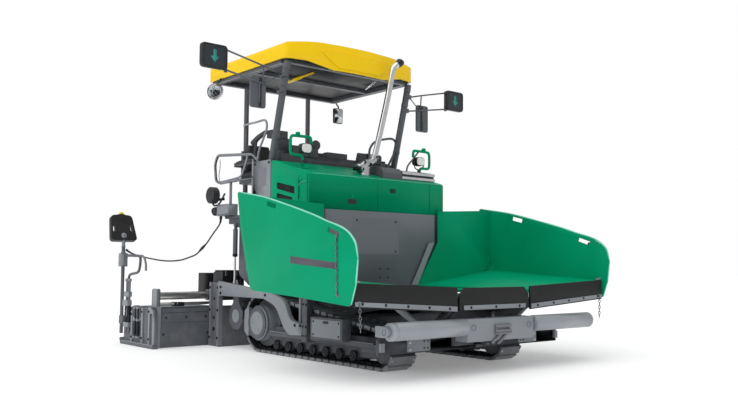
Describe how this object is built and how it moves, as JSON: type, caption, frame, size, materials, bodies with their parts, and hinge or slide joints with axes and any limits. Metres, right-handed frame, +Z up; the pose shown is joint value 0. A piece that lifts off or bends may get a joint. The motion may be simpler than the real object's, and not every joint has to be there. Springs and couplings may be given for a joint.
{
  "type": "asphalt paver",
  "caption": "Tracked asphalt paver with folding hopper wings, swivelling push rollers, operator platform under a canopy, and a lifting, extending screed.",
  "frame": {"origin": "on the ground under the middle of the overall length and width", "axes": "+X in the direction of travel, +Y to the machine's left, +Z up"},
  "size_m": [4.95, 3.748, 3.365],
  "materials": {
    "green_paint": "gloss enamel",
    "dark_paint": "satin enamel",
    "grey_paint": "satin enamel",
    "yellow_paint": "gloss gel coat",
    "black_plastic": "grained moulding",
    "seat_vinyl": "grained vinyl",
    "track_steel": "worn steel",
    "auger_iron": "cast",
    "apron_rubber": "matt",
    "cable_rubber": "matt sleeve",
    "chrome_rod": "ground and plated",
    "exhaust_chrome": "polished"
  },
  "bodies": {
    "root": {"chassis_frame": "dark_paint", "slat_conveyor": "track_steel", "engine_block": "dark_paint", "bulkhead": "dark_paint", "hood": "green_paint", "platform": "dark_paint", "operator_console": "black_plastic", "centre_apron": "apron_rubber", "auger_case": "dark_paint", "roof_canopy": "yellow_paint", "roof_frame": "dark_paint", "exhaust_pipe": "exhaust_chrome", "console_cable_upper": "cable_rubber", "side_tank_left": "dark_paint", "side_tank_right": "dark_paint", "seat_frame_left": "black_plastic", "seat_frame_right": "black_plastic", "seat_cushion_left": "seat_vinyl", "seat_cushion_right": "seat_vinyl", "side_rail_left": "grey_paint", "side_rail_right": "grey_paint", "track_left": "track_steel", "track_right": "track_steel", "track_frame_left": "grey_paint", "track_frame_right": "grey_paint", "signal_light_left": "black_plastic", "signal_light_right": "black_plastic", "work_lamp_left": "green_paint", "work_lamp_right": "green_paint"},
    "push_beam": {"push_beam": "grey_paint"},
    "screed": {"main_screed": "dark_paint", "tow_arm_left": "grey_paint", "tow_arm_right": "grey_paint", "console_cable_connector": "black_plastic"},
    "hopper_wing_left": {"hopper_wing_left": "green_paint", "wing_apron_left": "apron_rubber"},
    "wing_cylinder_left": {"wing_cylinder_left": "grey_paint"},
    "wing_cylinder_rod_left": {"wing_cylinder_rod_left": "chrome_rod"},
    "hopper_wing_right": {"hopper_wing_right": "green_paint", "wing_apron_right": "apron_rubber"},
    "wing_cylinder_right": {"wing_cylinder_right": "grey_paint"},
    "wing_cylinder_rod_right": {"wing_cylinder_rod_right": "chrome_rod"},
    "push_roller_left": {"push_roller_left": "grey_paint"},
    "auger_left": {"auger_left": "auger_iron"},
    "hood_door_left": {"hood_door_left": "green_paint"},
    "push_roller_right": {"push_roller_right": "grey_paint"},
    "auger_right": {"auger_right": "auger_iron"},
    "hood_door_right": {"hood_door_right": "green_paint"},
    "lift_cylinder_left": {"lift_cylinder_left": "dark_paint"},
    "lift_cylinder_rod_left": {"lift_cylinder_rod_left": "chrome_rod"},
    "screed_extension_left": {"screed_extension_left": "dark_paint", "end_gate_left": "grey_paint", "console_panel_left": "black_plastic"},
    "lift_cylinder_right": {"lift_cylinder_right": "dark_paint"},
    "lift_cylinder_rod_right": {"lift_cylinder_rod_right": "chrome_rod"},
    "screed_extension_right": {"screed_extension_right": "dark_paint", "end_gate_right": "grey_paint", "console_panel_right": "black_plastic", "console_cable_lower": "cable_rubber"}
  },
  "joints": [
    {"name": "wing_fold_left", "type": "hinge", "parent": "root", "child": "hopper_wing_left", "pos_m": [1.5, 0.48, 0.7], "axis": [1, 0, 0], "range_deg": [0, 50]},
    {"name": "wing_cylinder_swing_left", "type": "hinge", "parent": "root", "child": "wing_cylinder_left", "pos_m": [2.01, 0.575, 0.385], "axis": [1, 0, 0], "range_deg": [-2, 41.1]},
    {"name": "wing_cylinder_stroke_left", "type": "slide", "parent": "wing_cylinder_left", "child": "wing_cylinder_rod_left", "axis": [0, 0.8463, 0.5326], "range_m": [-0.005, 0.241]},
    {"name": "wing_fold_right", "type": "hinge", "parent": "root", "child": "hopper_wing_right", "pos_m": [1.5, -0.48, 0.7], "axis": [-1, 0, 0], "range_deg": [0, 50]},
    {"name": "wing_cylinder_swing_right", "type": "hinge", "parent": "root", "child": "wing_cylinder_right", "pos_m": [2.01, -0.575, 0.385], "axis": [-1, 0, 0], "range_deg": [-2, 41.1]},
    {"name": "wing_cylinder_stroke_right", "type": "slide", "parent": "wing_cylinder_right", "child": "wing_cylinder_rod_right", "axis": [0, -0.8463, 0.5326], "range_m": [-0.005, 0.241]},
    {"name": "push_beam_swivel", "type": "hinge", "parent": "root", "child": "push_beam", "pos_m": [2.23, 0, 0.35], "axis": [0, 0, 1], "range_deg": [-5, 5]},
    {"name": "push_roller_spin_left", "type": "hinge", "parent": "push_beam", "child": "push_roller_left", "pos_m": [2.4, 0.9, 0.42], "axis": [0, 1, 0], "continuous": true},
    {"name": "auger_spin_left", "type": "hinge", "parent": "root", "child": "auger_left", "pos_m": [-0.72, 0.45, 0.37], "axis": [0, 1, 0], "continuous": true},
    {"name": "hood_door_open_left", "type": "hinge", "parent": "root", "child": "hood_door_left", "pos_m": [0.556, 0.955, 1.7], "axis": [0, 0, -1], "range_deg": [0, 90]},
    {"name": "push_roller_spin_right", "type": "hinge", "parent": "push_beam", "child": "push_roller_right", "pos_m": [2.4, -0.9, 0.42], "axis": [0, 1, 0], "continuous": true},
    {"name": "auger_spin_right", "type": "hinge", "parent": "root", "child": "auger_right", "pos_m": [-0.72, -0.45, 0.37], "axis": [0, 1, 0], "continuous": true},
    {"name": "hood_door_open_right", "type": "hinge", "parent": "root", "child": "hood_door_right", "pos_m": [0.556, -0.955, 1.7], "axis": [0, 0, 1], "range_deg": [0, 90]},
    {"name": "screed_lift", "type": "hinge", "parent": "root", "child": "screed", "pos_m": [0.59, 0, 0.3], "axis": [0, 1, 0], "range_deg": [0, 10], "deforming": ["console_cable_upper", "console_cable_lower"]},
    {"name": "lift_cylinder_swing_left", "type": "hinge", "parent": "root", "child": "lift_cylinder_left", "pos_m": [-0.7, 0.93, 1.4], "axis": [0, 1, 0], "range_deg": [-14.7, 2]},
    {"name": "lift_cylinder_stroke_left", "type": "slide", "parent": "lift_cylinder_left", "child": "lift_cylinder_rod_left", "axis": [0, 0, 1], "range_m": [-0.005, 0.216]},
    {"name": "extension_slide_left", "type": "slide", "parent": "screed", "child": "screed_extension_left", "axis": [0, -1, 0], "range_m": [0, 0.64]},
    {"name": "lift_cylinder_swing_right", "type": "hinge", "parent": "root", "child": "lift_cylinder_right", "pos_m": [-0.7, -0.93, 1.4], "axis": [0, 1, 0], "range_deg": [-14.7, 2]},
    {"name": "lift_cylinder_stroke_right", "type": "slide", "parent": "lift_cylinder_right", "child": "lift_cylinder_rod_right", "axis": [0, 0, 1], "range_m": [-0.005, 0.216]},
    {"name": "extension_slide_right", "type": "slide", "parent": "screed", "child": "screed_extension_right", "axis": [0, 1, 0], "range_m": [0, 0.64]}
  ],
  "couplings": [
    {"joint": "wing_cylinder_swing_left", "follows": "wing_fold_left", "ratio": 0.7621},
    {"joint": "wing_cylinder_stroke_left", "follows": "wing_fold_left", "m_per_rad": 0.2642},
    {"joint": "wing_cylinder_swing_right", "follows": "wing_fold_right", "ratio": 0.7621},
    {"joint": "wing_cylinder_stroke_right", "follows": "wing_fold_right", "m_per_rad": 0.2642},
    {"joint": "lift_cylinder_swing_left", "follows": "screed_lift", "ratio": -1.2725},
    {"joint": "lift_cylinder_stroke_left", "follows": "screed_lift", "m_per_rad": 1.1818},
    {"joint": "lift_cylinder_swing_right", "follows": "screed_lift", "ratio": -1.2725},
    {"joint": "lift_cylinder_stroke_right", "follows": "screed_lift", "m_per_rad": 1.1818}
  ]
}
